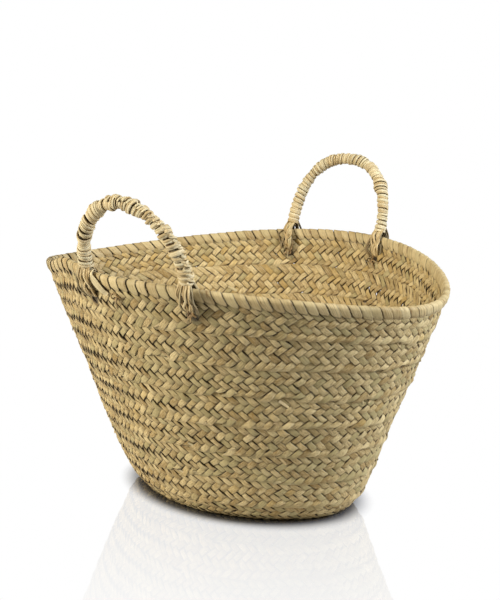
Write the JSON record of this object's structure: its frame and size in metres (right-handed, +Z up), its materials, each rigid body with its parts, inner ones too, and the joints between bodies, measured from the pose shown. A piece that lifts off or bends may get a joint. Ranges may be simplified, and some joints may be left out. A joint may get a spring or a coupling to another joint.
{
  "type": "basket bag",
  "caption": "Flared oval basket bag of sewn palm-leaf plait, with a bound rim and short wrapped handles that swing at the mouth.",
  "frame": {"origin": "middle of the base's underside, on the surface that the bag stands on", "axes": "+X along the mouth's longer way, +Z up, -Y the front, where the front handle is"},
  "size_m": [0.4932, 0.4339, 0.3474],
  "materials": {
    "plait": "matte plaited palm leaf",
    "leaf_cord": "matte twisted palm leaf",
    "rim_strip": "matte split palm leaf",
    "handle_strand": "matte wound palm leaf"
  },
  "bodies": {
    "basket": {"base_centre": "plait", "base_lace_1": "leaf_cord", "base_round_1": "plait", "base_lace_2": "leaf_cord", "base_round_2": "plait", "wall_lace_1": "leaf_cord", "wall_round_1": "plait", "wall_lace_2": "leaf_cord", "wall_round_2": "plait", "wall_lace_3": "leaf_cord", "wall_round_3": "plait", "wall_lace_4": "leaf_cord", "wall_round_4": "plait", "wall_lace_5": "leaf_cord", "wall_round_5": "plait", "wall_lace_6": "leaf_cord", "wall_round_6": "plait", "wall_lace_7": "leaf_cord", "wall_round_7": "plait", "wall_lace_8": "leaf_cord", "wall_top_round": "plait", "rim_core": "leaf_cord", "rim_binding": "rim_strip"},
    "front_handle": {"front_handle_core": "leaf_cord", "front_handle_wrap": "handle_strand", "front_left_foot_loop": "handle_strand", "front_right_foot_loop": "handle_strand"},
    "back_handle": {"back_handle_core": "leaf_cord", "back_handle_wrap": "handle_strand", "back_left_foot_loop": "handle_strand", "back_right_foot_loop": "handle_strand"}
  },
  "joints": [
    {"name": "front_handle_swing", "type": "hinge", "parent": "basket", "child": "front_handle", "pos_m": [0.02966, -0.18286, 0.24819], "axis": [0.9924, 0.1194, -0.0292], "range_deg": [-60, 55]},
    {"name": "back_handle_swing", "type": "hinge", "parent": "basket", "child": "back_handle", "pos_m": [-0.01072, 0.1736, 0.24686], "axis": [-0.9952, -0.0972, -0.0095], "range_deg": [-60, 55]}
  ]
}
